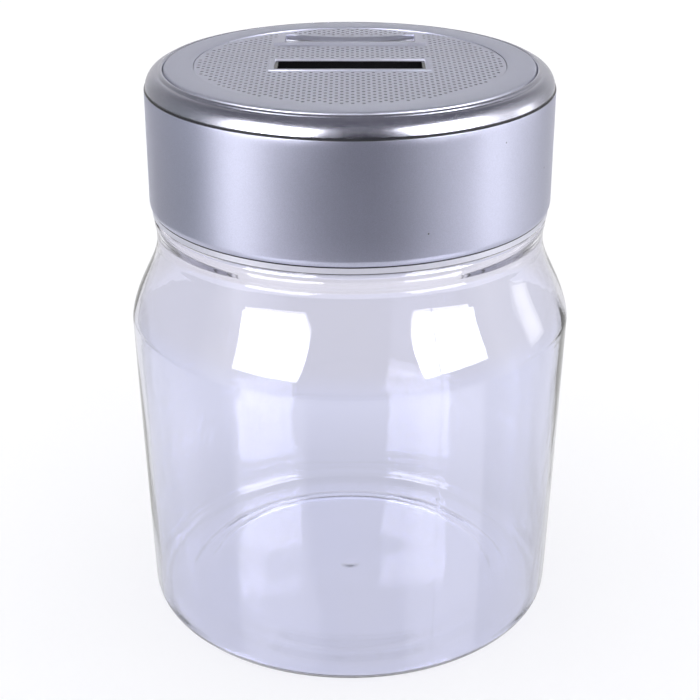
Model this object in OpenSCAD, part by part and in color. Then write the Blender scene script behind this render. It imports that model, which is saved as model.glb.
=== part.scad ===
// Coin jar with a counting lid: a clear screw-neck jar, and a silver lid that holds the coin
// slot, the coin-sensing lever, the display, its circuit and a two-cell battery box.
// Millimetres. The jar stands on z = 0 and its axis is the z axis. The display faces +y.

/* [Jar] */
// Widest diameter of the jar
jar_d = 120; // [112:1:146]
// Diameter where the wall meets the heel
heel_d = 115; // [100:1:140]
// Radius of the rounded heel
heel_r = 5.5; // [3:0.5:8]
// Height of the widest point
belly_h = 87; // [60:1:130]
// Height of the shoulder, from the widest point to the waist
shoulder_h = 22.5; // [16:0.5:34]
// Thickness of the jar's wall
jar_wall = 1.4; // [1:0.1:2.4]
// Height that the middle of the base is pushed up
push_up = 2.4; // [1:0.2:5]

/* [Neck and thread] */
// Outside diameter of the neck
neck_d = 97; // [90:0.5:118]
// Height of the neck above its ledge
neck_h = 18; // [15:0.5:24]
// Thickness of the neck's wall
neck_wall = 2; // [1.6:0.1:3]
// Rise of the thread in one turn
thread_lead = 15; // [12:0.5:18]
// Depth of a thread ridge
thread_depth = 1.2; // [0.8:0.1:1.4]
// Width of a thread ridge at its root
thread_width = 2.2; // [1.6:0.1:2.3]
// Radial clearance between the neck and the lid
thread_gap = 0.35; // [0.3:0.05:0.6]

/* [Lid] */
// Height of the skirt sleeve, over a neck and cells of the usual size
skirt_h = 31.6; // [28:0.2:40]
// Thickness of the skirt sleeve
skirt_wall = 2; // [1.4:0.1:3]
// Wall of the threaded inner cap
cap_wall = 1.4; // [1.2:0.1:2]
// Thickness of the inner cap's floor
floor_t = 2.2; // [1.8:0.1:3]
// Rise of the bezel ring above the skirt
bezel_h = 4.9; // [4:0.1:6]
// Width of the bezel ring's rounded face
bezel_w = 4.4; // [3.6:0.1:5]
// Diameter of the dotted disc
disc_d = 81.4; // [76:0.2:86]
// Thickness of the dotted disc
disc_t = 1.6; // [1.2:0.1:2.2]

/* [Coin slot] */
// Length of the coin slot
slot_l = 39.4; // [34:0.2:44]
// Width of the coin slot at the top
slot_w = 10.4; // [9:0.2:12]
// Length of the coin passage
coin_l = 33; // [28:0.5:33.5]
// Width of the coin passage
coin_w = 4.6; // [4.4:0.1:5.4]
// Radius of the lever's pivot pin
pin_r = 1; // [0.8:0.05:1.2]
// Running clearance of the lever on its pin
pin_gap = 0.05; // [0.03:0.01:0.08]

/* [Battery box] */
// Length of a cell
cell_l = 44.5; // [40:0.5:46]
// Diameter of a cell
cell_d = 10.5; // [8:0.1:10.8]

/* [Hidden] */
$fn = 96;

eps = 0.01;
fit = 0.2;              // gap round a piece that drops in by hand
snug = 0.05;            // gap round a piece that is pressed or glued in
between = 0.15;         // gap between faces of two pieces that move apart

// Jar
jar_r = jar_d / 2;
heel_x = heel_d / 2;
neck_r = neck_d / 2;
mouth_r = neck_r - neck_wall;
cap_in_r = neck_r + thread_depth + thread_gap;
cap_out_r = cap_in_r + cap_wall;
skirt_in_r = cap_out_r + thread_gap;
skirt_r = skirt_in_r + skirt_wall;
flange_drop = 0.6;      // how far the inner cap's rim stands in from the skirt
flange_r = skirt_r - flange_drop;
bead_r = flange_r - 0.4;
waist_r = bead_r - 0.5;
waist_z = belly_h + shoulder_h;
bead_z = waist_z + 4.6;
ledge_z = waist_z + 6.5;
rim_z = ledge_z + neck_h;
base_t = 1.6;           // thickness of the jar's base
foot_w = 4;             // width of the ring that the jar stands on
push_w = 9;             // width of the slope from that ring up to the pushed-up middle

// Lid heights
cap_z = ledge_z + 0.5;
flange_h = 2.1;
skirt_z = cap_z + flange_h;
seal_t = 1.2;
seal_z = rim_z + between;
floor_z = seal_z + seal_t + between;
deck_z = floor_z + floor_t;
usual_neck_h = 18;      // the neck and cells that skirt_h is given for
usual_cell_d = 10.5;
seam_z = skirt_z + skirt_h + (neck_h - usual_neck_h) + (cell_d - usual_cell_d);
plate_t = 1.65;         // thickness of the top plate under the dotted disc
collar_t = 2;           // wall of the collar that seats the top plate in the skirt
collar_h = 5.9;
shelf_z = seam_z + 2.7; // where the bezel ring sits on the top plate
top_z = seam_z + bezel_h + 0.2;
disc_z = top_z - disc_t - 0.15;
disc_top = disc_z + disc_t;
plate_z = disc_z - plate_t;
rim_step = 5.3;         // from the skirt's outside in to the flat annulus
annulus_r = skirt_r - rim_step;
disc_r = disc_d / 2;

// Coin path
slot_y = -1.7;
slot_rim = 1.2;         // width of the raised border round the slot
slot_rise = 0.25;
funnel_t = 0.8;
funnel_lip = 1.5;
funnel_lip_t = 1;
funnel_flat = 4;        // depth of the funnel's straight mouth
throat_h = 2;
throat_z = deck_z + 5.6;
chute_wall = 1.2;
chute_gap = 0.1;
pivot_x = coin_l / 2 + 7.5;
pivot_z = deck_z + 4.7;
boss_r = 2.4;
boss_w = 6;
arm_w = 3;
arm_t = 2.8;
tip_r = 1.5;
reach = 21.9;           // from the pivot to the middle of the lever's tip
droop = 7.6;            // how far the arm hangs below level at rest, in degrees
tail = 9;
tail_t = 1.6;
cheek_t = 2;
cheek_x = 3.5;          // half the length of a cheek
cheek_h = 8.7;
sensor_y = slot_y + boss_w / 2 + fit + cheek_t + 0.6;
sensor_t = 1.2;
sensor_l = 18;
sensor_back = 5;        // how far it runs behind the pivot

// Display
view_near = 20.1;       // y of the display frame's near edge
view_far = 33.5;        // y of its far corners
view_near_w = 41.6;
view_far_w = 37.4;
rim_w = 1.8;
rim_h = 0.6;
glass_l = 35.8;
glass_t = 0.7;
scoop_r = 40.3;         // radius of the curved far edge of the window
scoop_y = 28.2;         // y of the middle of that edge
scoop_run = 1.6;        // how far its slope runs back
edge_r = 68.5;          // radius of the frame's own far edge
edge_y = 30.9;
lcd = [33.4, 9, 1.55];
lcd_y = 27.3;
zebra_w = 1.6;

// Circuit board
board = [54, 26.5, 1.6];
board_y = 22.25;
board_z = plate_z - 4.5;
board_hole = [23.5, 9.7];
board_boss_r = 2.2;
board_screw_r = 0.8;
board_screw_l = 4;
board_screw_at = [for (sx = [-1, 1], sy = [-1, 1]) [sx * board_hole[0], board_y + sy * board_hole[1]]];
chip_at = [8, 18];
chip_r = 5;
chip_h = 1.7;
wire_r = 0.45;          // of the sensor's wires

// Posts and screws
post_r = 3.2;
screw_r = 1.25;
head_r = 2.6;
head_h = 1.4;
post_at = [[40, -14], [33, 27], [-33, 27], [-40, -14]];
post_scale = min(1, (mouth_r - head_r - 1.2) / 42.7);
posts = [for (p = post_at) [for (c = p) c * post_scale]];

// Battery box
cell_gap = 0.6;         // space beside and between the cells
contact_l = 3;          // room for a contact at each end
box_wall = 1.2;
cell_nub = [1.9, 1];    // radius and height of a cell's raised end
tag_w = 3;              // slot for a contact's tag, and how far it is under the box's top
tag_drop = 2.4;
lead_r = 0.55;          // of the battery's wires
box_in = [cell_l + 2 * contact_l, 2 * cell_d + 3 * cell_gap, cell_d + 2 * cell_gap];
box_y1 = slot_y - coin_w / 2 - 8.2;         // inner face nearest the coin path
box_y0 = box_y1 - box_in[1];
door_t = 2;
ear_w = 9;
ear_t = 1.2;
ear_l = 6.4;
door_screw_y = box_y1 + 4;
door_screw_r = 1;
door_boss_r = 2;
door_boss_h = 5;

// Reset button
reset_at = [-19, 20];
stem_r = 1.5;
button_r = 2.6;
flange_w = 0.8;
button_out = 0.7;
switch_w = 6;
switch_h = 3;
switch_clear = 0.8;     // room over the stem, a little more than the button's travel

// Point at radius r and angle a
function polar(r, a) = [r * cos(a), r * sin(a)];

// Points of an arc of radius r about c, from angle a0 to a1
function arc(c, r, a0, a1, n = 8) = [for (i = [0:n]) c + polar(r, a0 + (a1 - a0) * i / n)];

// Smooth fall from 1 to 0 as t goes from 0 to 1
function ease(t) = 0.5 + 0.5 * cos(180 * pow(t, 1.2));

// A list the other way round
function reverse(v) = [for (i = [len(v) - 1:-1:0]) v[i]];

// Share of the shoulder's overhang left at t of its height: a soft crease, then an S-curve
function shoulder(t) = let (a = 45 + 135 * pow(t, 1.25)) (1 + cos(a)) / (1 + cos(45));

// Outside of the jar's wall from the heel to the waist, set in by t
function jar_side(t) = concat(
    arc([heel_x - heel_r, heel_r], heel_r - t, -90, 0, 8),
    [[jar_r - 0.6 - t, belly_h * 0.78], [jar_r - 0.12 - t, belly_h * 0.92]],
    [for (i = [0:18]) [waist_r - t + (jar_r - waist_r) * shoulder(i / 18),
        belly_h + shoulder_h * i / 18]]
);

// Slope between the standing ring and the pushed-up middle of the base, h higher
function base_slope(h) = [for (i = [0:6])
    [heel_x - heel_r - foot_w - push_w * i / 6, h + push_up * (1 - ease(i / 6))]];

// A ring of the 4 corners of a thread ridge at angle a, standing depth out from radius r
function ridge_ring(r, depth, a, z) = [
    [r * cos(a), r * sin(a), z - thread_width / 2],
    [(r + depth) * cos(a), (r + depth) * sin(a), z - thread_width / 4],
    [(r + depth) * cos(a), (r + depth) * sin(a), z + thread_width / 4],
    [r * cos(a), r * sin(a), z + thread_width / 2]
];

// Side faces that join n rings of k points, and the two end faces
function tube_faces(n, k, turn = false) = let (
    side = [for (i = [0:n - 2], j = [0:k - 1])
        [i * k + j, i * k + (j + 1) % k, (i + 1) * k + (j + 1) % k, (i + 1) * k + j]],
    ends = [[for (j = [0:k - 1]) k - 1 - j], [for (j = [0:k - 1]) (n - 1) * k + j]],
    all = concat(side, ends)
) turn ? all : [for (f = all) [for (i = [len(f) - 1:-1:0]) f[i]]];

ridge_arc = 100;        // degrees that one ridge covers
ridge_n = 26;
ridge_root = 0.5;       // how far a ridge is sunk in its wall

// One thread ridge: out = 1 stands out from the wall, out = -1 stands in
module ridge(wall_r, out, start, z) {
    rings = [for (i = [0:ridge_n]) let (
        a = start + ridge_arc * i / ridge_n,
        ramp = min(1, (i + 1) / 4, (ridge_n + 1 - i) / 4)
    ) each ridge_ring(wall_r - out * ridge_root, out * (thread_depth * ramp + ridge_root), a,
        z + thread_lead * (a - start) / 360)];
    polyhedron(rings, tube_faces(ridge_n + 1, 4, out > 0), convexity = 4);
}

thread_z = ledge_z + 6;
module threads(wall_r, out, z) {
    for (k = [0:2]) ridge(wall_r, out, 120 * k, z);
}

// Round wire of radius r swept through a list of points
function unit(v) = v / norm(v);
function wire_ring(p, d, r, k) = let (
    side = unit(cross(d, abs(d[2]) < 0.9 ? [0, 0, 1] : [1, 0, 0])),
    up = cross(side, d)
) [for (j = [0:k - 1]) p + r * (cos(360 * j / k) * side + sin(360 * j / k) * up)];
module wire(points, r, k = 8) {
    n = len(points);
    rings = [for (i = [0:n - 1]) each wire_ring(points[i],
        unit(points[min(i + 1, n - 1)] - points[max(i - 1, 0)]), r, k)];
    polyhedron(rings, tube_faces(n, k, true), convexity = 10);
}

// Coil of wire round the z axis
function coil(r0, r1, h, turns, n = 16) = [for (i = [0:turns * n]) let (t = i / (turns * n))
    [(r0 + (r1 - r0) * t) * cos(360 * i / n), (r0 + (r1 - r0) * t) * sin(360 * i / n), h * t]];

// Point on a smooth curve through points, and the curve itself with m steps a span
function spline_at(p, i, t) = let (
    a = p[max(i - 1, 0)], b = p[i], c = p[i + 1], d = p[min(i + 2, len(p) - 1)]
) 0.5 * (2 * b + (c - a) * t + (2 * a - 5 * b + 4 * c - d) * t * t
    + (3 * b - a - 3 * c + d) * t * t * t);
function spline(p, m = 5) = concat(
    [for (i = [0:len(p) - 2], s = [0:m - 1]) spline_at(p, i, s / m)], [p[len(p) - 1]]);

// Box from its middle in x and y, and from z up
module block(size, at) {
    translate([at[0] - size[0] / 2, at[1] - size[1] / 2, at[2]]) cube(size);
}

// Ring of a rectangular section
module ring(r_in, r_out, z0, z1) {
    translate([0, 0, z0]) difference() {
        cylinder(r = r_out, h = z1 - z0);
        translate([0, 0, -1]) cylinder(r = r_in, h = z1 - z0 + 2);
    }
}

// Pan-head screw pointing up, with its head's top face at z
module screw(x, y, z, r, length, hr, hh) {
    translate([x, y, z - hh]) {
        difference() {
            cylinder(r = hr, h = hh);
            for (a = [0, 90]) rotate([0, 0, a]) block([2.4, 0.6, 1.4], [0, 0, -0.7]);
        }
        cylinder(r = r, h = length + hh);
    }
}

module jar() {
    outside = concat([[0, push_up]], reverse(base_slope(0)), jar_side(0),
        [[waist_r, waist_z + 2], [bead_r, bead_z], [bead_r, ledge_z - 0.4],
        [bead_r - 0.4, ledge_z], [neck_r, ledge_z], [neck_r, rim_z - 0.5], [neck_r - 0.5, rim_z]]);
    inside = concat([[mouth_r + 0.5, rim_z], [mouth_r, rim_z - 0.5], [mouth_r, ledge_z + 0.6],
        [mouth_r + 1.1, ledge_z - 1.1], [waist_r - jar_wall - 1.1, ledge_z - 2.4],
        [waist_r - jar_wall, waist_z + 1]],
        reverse(jar_side(jar_wall)), base_slope(base_t), [[0, push_up + base_t]]);
    color([0.84, 0.85, 0.93, 0.45]) {
        rotate_extrude() polygon(concat(outside, inside));
        threads(neck_r, 1, thread_z);
    }
}

module seal_ring() {
    color("whitesmoke") ring(mouth_r + 0.3, cap_in_r - fit, seal_z, seal_z + seal_t);
}

// Floor, threaded wall and rim of the lid's lower half
module inner_cap() {
    color([0.78, 0.78, 0.86]) difference() {
        union() {
            translate([0, 0, floor_z]) cylinder(r = cap_out_r, h = floor_t);
            ring(cap_in_r, cap_out_r, cap_z, floor_z + eps);
            rotate_extrude() polygon([
                [cap_in_r, cap_z + 0.4], [cap_in_r + 0.4, cap_z], [flange_r - 0.3, cap_z],
                [flange_r, cap_z + 0.3], [flange_r, skirt_z - 0.2], [flange_r - 0.2, skirt_z],
                [cap_in_r, skirt_z]
            ]);
            threads(cap_in_r, -1, thread_z - thread_lead / 6);
        }
        coin_exit(floor_z - 1, floor_t + 2);
        battery_opening(0, floor_z - 1, floor_t + 2);
        for (p = posts) translate([p[0], p[1], floor_z - 1]) cylinder(r = screw_r + 0.3, h = floor_t + 2);
        translate([reset_at[0], reset_at[1], floor_z - 1]) cylinder(r = button_r + between, h = floor_t + 2);
        translate([0, door_screw_y, floor_z - 1]) cylinder(r = door_screw_r + fit, h = floor_t + 2);
    }
}

// Hole that the coins fall through
module coin_exit(z, h) {
    x0 = -coin_l / 2;
    translate([x0, slot_y - coin_w / 2, z]) cube([pivot_x - 0.5 - x0, coin_w, h]);
}

// Opening under the cells, smaller all round by gap
module battery_opening(gap, z, h) {
    translate([gap - box_in[0] / 2, box_y0 + gap, z])
        cube([box_in[0] - 2 * gap, box_in[1] - 2 * gap, h]);
}

module skirt_sleeve() {
    color([0.55, 0.56, 0.62]) rotate_extrude() polygon(concat(
        [[skirt_in_r, skirt_z], [skirt_r - 0.7, skirt_z]],
        [for (i = [0:5]) [skirt_r - 0.5 * pow(1 - i / 5, 2), skirt_z + 0.3 + 2.4 * i / 5]],
        [[skirt_r, seam_z - 0.2], [skirt_r - 0.2, seam_z], [skirt_in_r, seam_z]]
    ));
}

module bezel_ring() {
    outer = skirt_r - 0.2;
    face = [for (a = [0:9:90]) [outer - bezel_w * (1 - cos(a)), seam_z + bezel_h * sin(a)]];
    color([0.66, 0.67, 0.72]) rotate_extrude() polygon(concat(
        [[annulus_r + 0.1, shelf_z], [skirt_in_r - 0.1, shelf_z], [skirt_in_r - 0.1, seam_z]],
        face,
        [[outer - bezel_w - 0.4, seam_z + bezel_h - 0.1], [annulus_r + 0.1, seam_z + bezel_h - 0.8]]
    ));
}

// Annulus round the disc, the shelf under it, the collar in the skirt and the posts
module top_plate() {
    color([0.7, 0.71, 0.78]) difference() {
        union() {
            rotate_extrude() polygon([
                [0, plate_z], [skirt_in_r - fit, plate_z], [skirt_in_r - fit, shelf_z],
                [annulus_r, shelf_z], [annulus_r, top_z - 0.5], [annulus_r - 0.5, top_z],
                [disc_r + between, top_z], [disc_r + between, disc_z], [0, disc_z]
            ]);
            ring(skirt_in_r - fit - collar_t, skirt_in_r - fit, plate_z - collar_h, plate_z + eps);
            for (p = posts) translate([p[0], p[1], deck_z]) cylinder(r = post_r, h = plate_z + eps - deck_z);
            for (p = board_screw_at) translate([p[0], p[1], board_z + board[2]])
                cylinder(r = board_boss_r, h = plate_z + eps - board_z - board[2]);
        }
        for (p = posts) translate([p[0], p[1], deck_z - 1]) cylinder(r = screw_r, h = 10);
        for (p = board_screw_at) translate([p[0], p[1], board_z])
            cylinder(r = board_screw_r, h = board_screw_l + 0.2);
        block([slot_l + 0.2, slot_w + 0.2, 9], [0, slot_y, plate_z - 3]);
        block([lcd[0] + fit, lcd[1] + fit, 9], [0, lcd_y, plate_z - 3]);
    }
}

// Outline of the display frame, larger all round by gap
module view_outline(gap) {
    difference() {
        polygon([
            [-view_near_w / 2 - gap, view_near - gap], [view_near_w / 2 + gap, view_near - gap],
            [view_far_w / 2 + gap, view_far + gap], [-view_far_w / 2 - gap, view_far + gap]
        ]);
        translate([0, edge_y + gap + edge_r]) circle(r = edge_r);
    }
}

// Dotted disc. Its rows of dimples are left plain here.
module dotted_disc() {
    color([0.67, 0.67, 0.74]) difference() {
        union() {
            translate([0, 0, disc_z]) cylinder(r = disc_r, h = disc_t);
            block([slot_l + 2 * slot_rim, slot_w + 2 * slot_rim, disc_t + slot_rise],
                [0, slot_y, disc_z]);
        }
        block([slot_l, slot_w, disc_t + 2], [0, slot_y, disc_z - 1]);
        translate([0, 0, disc_z - 1]) linear_extrude(disc_t + 2) view_outline(snug);
    }
}

// Raised frame round the display, lower towards the reader, with a curved slope to the disc
module display_frame() {
    rise = disc_top + rim_h;
    color([0.74, 0.74, 0.8]) difference() {
        intersection() {
            translate([0, 0, disc_z]) linear_extrude(disc_t + rim_h) view_outline(0);
            rotate([90, 0, 90]) translate([0, 0, -jar_r]) linear_extrude(jar_d) polygon([
                [view_near, disc_z], [view_near, disc_top], [view_near + 0.5, rise],
                [view_near + rim_w, rise], [view_far + 1, disc_top], [view_far + 1, disc_z]
            ]);
        }
        difference() {
            block([glass_l, view_far - view_near, disc_t + 3],
                [0, (view_near + view_far) / 2 + rim_w, disc_z - 1]);
            translate([0, scoop_y + scoop_r, disc_z - 1]) cylinder(r = scoop_r, h = glass_t + 1);
            translate([0, scoop_y + scoop_r, disc_z + glass_t])
                cylinder(r1 = scoop_r, r2 = scoop_r - scoop_run, h = disc_t - glass_t);
        }
        translate([0, 0, disc_top]) linear_extrude(3) translate([0, view_far])
            square([glass_l, 2 * (view_far - view_near - rim_w)], center = true);
    }
}

module display_lens() {
    near = view_near + rim_w + snug;
    color([0.16, 0.17, 0.19, 0.7]) difference() {
        translate([snug - glass_l / 2, near, disc_z]) cube([glass_l - 2 * snug, 12, glass_t]);
        translate([0, scoop_y - snug + scoop_r, disc_z - 1]) cylinder(r = scoop_r, h = glass_t + 2);
        translate([-glass_l, view_far - 0.2, disc_z - 1]) cube([2 * glass_l, 9, glass_t + 2]);
    }
}

module lcd_glass() {
    color([0.6, 0.64, 0.58]) block(lcd, [0, lcd_y, disc_z - lcd[2] - snug]);
}

// Two rubber strips that join the display glass to the board
module zebra_strips() {
    z = board_z + board[2];
    for (s = [-1, 1]) color("dimgray")
        block([lcd[0] - 3, zebra_w, disc_z - lcd[2] - snug - z], [0, lcd_y + s * (lcd[1] / 2 - zebra_w), z]);
}

module circuit_board() {
    color("darkgreen") difference() {
        block(board, [0, board_y, board_z]);
        for (p = board_screw_at) translate([p[0], p[1], board_z - 1])
            cylinder(r = board_screw_r + 0.3, h = board[2] + 2);
    }
}

module chip_blob() {
    color([0.08, 0.08, 0.09]) translate([chip_at[0], chip_at[1], board_z]) rotate_extrude()
        polygon(concat([[0, 0]], [for (a = [0:10:90]) [chip_r * cos(a), -chip_h * sin(a)]]));
}

module board_screws() {
    for (p = board_screw_at) color("silver")
        screw(p[0], p[1], board_z, board_screw_r, board_screw_l, 1.9, 1);
}

// Cross-section of the funnel: half widths at the top and at the throat
module funnel_section(half_top, half_low, top) {
    polygon([
        [half_low, throat_z - eps], [half_low, throat_z + throat_h], [half_top, top - funnel_flat],
        [half_top, top], [-half_top, top], [-half_top, top - funnel_flat],
        [-half_low, throat_z + throat_h], [-half_low, throat_z - eps]
    ]);
}

// Carries a section in y and z along x, centred on the slot
module along_x(length) {
    translate([-length / 2, slot_y, 0]) rotate([90, 0, 90]) linear_extrude(length) children();
}

// Black funnel that lines the slot and narrows to the coin passage
module coin_funnel() {
    top = disc_top - 0.2;
    wide = slot_w / 2 - 0.1;
    color([0.07, 0.07, 0.08]) difference() {
        union() {
            along_x(coin_l + 2 * funnel_t) funnel_section(wide, coin_w / 2 + funnel_t, top);
            block([slot_l - 0.2, 2 * wide, funnel_flat], [0, slot_y, top - funnel_flat]);
            block([slot_l + 2 * funnel_lip, slot_w + 2 * funnel_lip, funnel_lip_t],
                [0, slot_y, plate_z - funnel_lip_t]);
        }
        along_x(coin_l) translate([0, -eps]) funnel_section(wide - funnel_t, coin_w / 2, top + 1);
        block([slot_l - 0.2 - 2 * funnel_t, 2 * (wide - funnel_t), funnel_flat],
            [0, slot_y, top - funnel_flat + funnel_t]);
    }
}

// Walls round the coin exit, and the two cheeks that hold the lever's pin
module coin_chute() {
    wall_y = coin_w / 2 + chute_wall;
    x0 = -coin_l / 2 - chute_wall;
    cheek = boss_w / 2 + fit;
    color([0.85, 0.85, 0.85]) difference() {
        union() {
            translate([x0, slot_y - wall_y, deck_z])
                cube([pivot_x - cheek_x - x0, 2 * wall_y, throat_z - chute_gap - deck_z]);
            for (s = [-1, 1]) block([2 * cheek_x, cheek_t, cheek_h],
                [pivot_x, slot_y + s * (cheek + cheek_t / 2), deck_z]);
        }
        translate([-coin_l / 2, slot_y - coin_w / 2, deck_z - 1]) cube([2 * coin_l, coin_w, 20]);
        pivot(pin_r, 4 * boss_w);
    }
}

// Cylinder on the lever's pivot
module pivot(r, length) {
    translate([pivot_x, slot_y, pivot_z]) rotate([90, 0, 0]) cylinder(r = r, h = length, center = true);
}

// Lever pushed aside by each coin, by as much as the coin is wide
module coin_lever() {
    color([0.92, 0.92, 0.9]) difference() {
        union() {
            pivot(boss_r, boss_w);
            translate([pivot_x, slot_y, pivot_z]) rotate([90, -droop, 0])
                translate([0, 0, -arm_w / 2]) linear_extrude(arm_w) {
                    polygon([[0, arm_t / 2], [-reach, tip_r], [-reach, -tip_r], [0, -arm_t / 2],
                        [tail, -tail_t / 2], [tail, tail_t / 2]]);
                    translate([-reach, 0]) circle(r = tip_r);
                }
        }
        pivot(pin_r + pin_gap, boss_w + 2);
    }
}

module lever_pin() {
    color("silver") pivot(pin_r, boss_w + 2 * fit + 2 * cheek_t);
}

// Torsion spring on the lever's boss: one leg on the floor, the other hooked under the arm
module lever_spring() {
    r = boss_r + 0.5;
    thick = 0.17;
    turns = 2.5;
    wound = turns * 0.42;
    foot = pivot_z - deck_z - thick - 0.05;
    hook = [-r - 2.2, (r + 2.2) * tan(droop) + arm_t / 2 + thick + 0.15];
    color("gainsboro") translate([pivot_x, slot_y - boss_w / 2 + thick + 0.04, pivot_z])
        rotate([-90, 0, 0]) wire(concat([[r, foot, 0]], coil(r, r, wound, turns),
            [[hook[0], hook[1], wound], [hook[0], hook[1], wound + 1.8]]), thick, 6);
}

// Brass strip on the lever's tail that slides on the sensor board
module lever_wiper() {
    color("goldenrod") translate([pivot_x, slot_y, pivot_z]) rotate([0, droop, 0])
        translate([tail - 2.4, arm_w / 2, -0.2]) cube([1.6, sensor_y - slot_y - arm_w / 2 - 0.1, 0.4]);
}

module sensor_board() {
    color("darkgreen") translate([pivot_x - sensor_back, sensor_y, deck_z + 0.2])
        cube([sensor_l, sensor_t, plate_z - funnel_lip_t - deck_z - 0.5]);
}

// Two thin leads from the sensor board up to the circuit board
module sensor_wires() {
    y = sensor_y + sensor_t;
    z = board_z + board[2];
    edge = board_y - board[1] / 2;
    for (i = [0, 1]) color(i == 0 ? "gold" : "white")
        wire(spline([[pivot_x + 3 + 3 * i, y + 0.1, deck_z + 8],
            [pivot_x + 3 + 3 * i, y + 1.2, deck_z + 8.2],
            [pivot_x + 2.5 + 2 * i, edge - 1.4 - 0.6 * i, z - 0.8 + 0.4 * i],
            [pivot_x, edge - 0.8 - 1.1 * i, z + 1.1 + 0.9 * i],
            [pivot_x - 4 - i, edge - 0.1 - 1.3 * i, z + 1.5 + 0.6 * i],
            [pivot_x - 6.4 - 2.8 * i, edge + 1.2 - 0.8 * i, z + 1.2 + 0.2 * i],
            [pivot_x - 6.8 - 3 * i, edge + 1.8 - 0.5 * i, z + 0.25]], 4), wire_r, 6);
}

// Button in the lid's floor, its spring and the switch that it presses
module reset_button() {
    tip_z = board_z - switch_h - switch_clear;
    travel_top = deck_z + between;
    color([0.2, 0.2, 0.22]) translate([reset_at[0], reset_at[1], 0]) {
        translate([0, 0, floor_z - button_out])
            cylinder(r = button_r, h = travel_top + eps - floor_z + button_out);
        translate([0, 0, travel_top]) cylinder(r = button_r + flange_w, h = 1);
        translate([0, 0, travel_top]) cylinder(r = stem_r, h = tip_z - travel_top);
    }
}

module reset_spring() {
    z0 = deck_z + between + 1;
    thick = 0.2;
    room = board_z - switch_h - z0 - 2 * thick - 0.04;
    color("gainsboro") translate([reset_at[0], reset_at[1], z0 + thick + 0.02])
        wire(coil(stem_r + 0.6, stem_r + 0.6, room, 5, 14), thick, 6);
}

module reset_switch() {
    color([0.12, 0.12, 0.13]) block([switch_w, switch_w, switch_h],
        [reset_at[0], reset_at[1], board_z - switch_h]);
}

// Box over the cells, open at the floor
module battery_box() {
    color([0.85, 0.85, 0.85]) {
        difference() {
            translate([-box_in[0] / 2 - box_wall, box_y0 - box_wall, deck_z])
                cube([box_in[0] + 2 * box_wall, box_in[1] + 2 * box_wall, box_in[2] + box_wall]);
            battery_opening(0, deck_z - 1, box_in[2] + 1);
            for (y = cell_y) translate([-box_in[0], y - tag_w / 2, deck_z + box_in[2] - tag_drop])
                cube([box_in[0], tag_w, 0.5]);
        }
        difference() {
            union() {
                translate([0, door_screw_y, deck_z]) cylinder(r = door_boss_r, h = door_boss_h);
                translate([-1.2, door_screw_y, deck_z])
                    mirror([0, 1, 0]) cube([2.4, door_screw_y - box_y1 - box_wall / 2, door_boss_h]);
            }
            translate([0, door_screw_y, deck_z - 1]) cylinder(r = door_screw_r, h = door_boss_h + 2);
        }
    }
}

cell_y = [for (i = [0, 1]) box_y1 - cell_gap - cell_d / 2 - i * (cell_d + cell_gap)];
cell_z = deck_z + cell_gap + cell_d / 2;

// A cell along x, its raised end at s * x
module cell(y, s) {
    translate([0, y, cell_z]) rotate([0, 90 * s, 0]) translate([0, 0, -cell_l / 2]) rotate_extrude()
        polygon([[0, 0], [cell_d / 2 - 0.5, 0], [cell_d / 2, 0.5],
            [cell_d / 2, cell_l - cell_nub[1] - 0.6], [cell_d / 2 - 0.6, cell_l - cell_nub[1]],
            [cell_nub[0], cell_l - cell_nub[1]], [cell_nub[0], cell_l], [0, cell_l]]);
}

module cell_left() {
    color([0.2, 0.45, 0.35]) cell(cell_y[0], -1);
}

module cell_right() {
    color([0.2, 0.45, 0.35]) cell(cell_y[1], 1);
}

// Spring and plate contacts at the ends of the cells, and the tags for the wires
module cell_contacts() {
    plate = [0.4, cell_d - 2, cell_d - 2];
    thick = 0.3;
    room = contact_l - plate[0] - snug - 2 * thick - 0.1;
    color("silver") for (i = [0, 1]) {
        s = i == 0 ? 1 : -1;
        for (e = [-1, 1]) translate([e * (box_in[0] / 2 - snug - plate[0] / 2), cell_y[i], cell_z])
            cube(plate, center = true);
        translate([s * (cell_l / 2 + contact_l - snug - plate[0] - thick - 0.02), cell_y[i], cell_z])
            rotate([0, -90 * s, 0]) wire(coil(3.6, 2.2, room, 3), thick, 6);
        translate([-box_in[0] / 2 - box_wall - 1.2, cell_y[i] - tag_w / 2 + 0.3,
            deck_z + box_in[2] - tag_drop + 0.1]) cube([contact_l - 0.6, tag_w - 0.6, 0.3]);
    }
}

// Leads from the contacts' tags round to the circuit board
module battery_wires() {
    x = -box_in[0] / 2 - box_wall;
    z = deck_z + box_in[2] - 1.4;
    for (i = [0, 1]) color(i == 0 ? "firebrick" : "black")
        wire(spline([[x - 0.5, cell_y[i], z], [x - 1.8, cell_y[i], z],
            [x - 4.2 - i, cell_y[i] + 4 + 3 * i, z - 1.6], [x - 5 - 1.6 * i, -6, z - 4 - i],
            [x - 3.6 - 1.6 * i, 4, z - 5 - i], [x - 0.4 - 1.3 * i, 11 + i, board_z - 2.2],
            [2.4 - board[0] / 2 + 0.2 * i, 16 + 2.4 * i, board_z - 1.4],
            [2.5 - board[0] / 2 + 0.2 * i, 16.2 + 2.4 * i, board_z - 0.2]], 4), lead_r, 6);
}

// Door over the cells, with an ear that its screw goes through
module battery_door() {
    color([0.85, 0.85, 0.85]) difference() {
        union() {
            battery_opening(fit, floor_z, door_t);
            translate([-ear_w / 2, box_y1 - 4, floor_z - ear_t - between])
                cube([ear_w, ear_l + 4, ear_t]);
            translate([-ear_w / 2, box_y1 - 4, floor_z - between - eps]) cube([ear_w, 4 - fit, 1]);
        }
        translate([0, door_screw_y, floor_z - 5]) cylinder(r = door_screw_r + snug, h = 9);
    }
}

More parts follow.
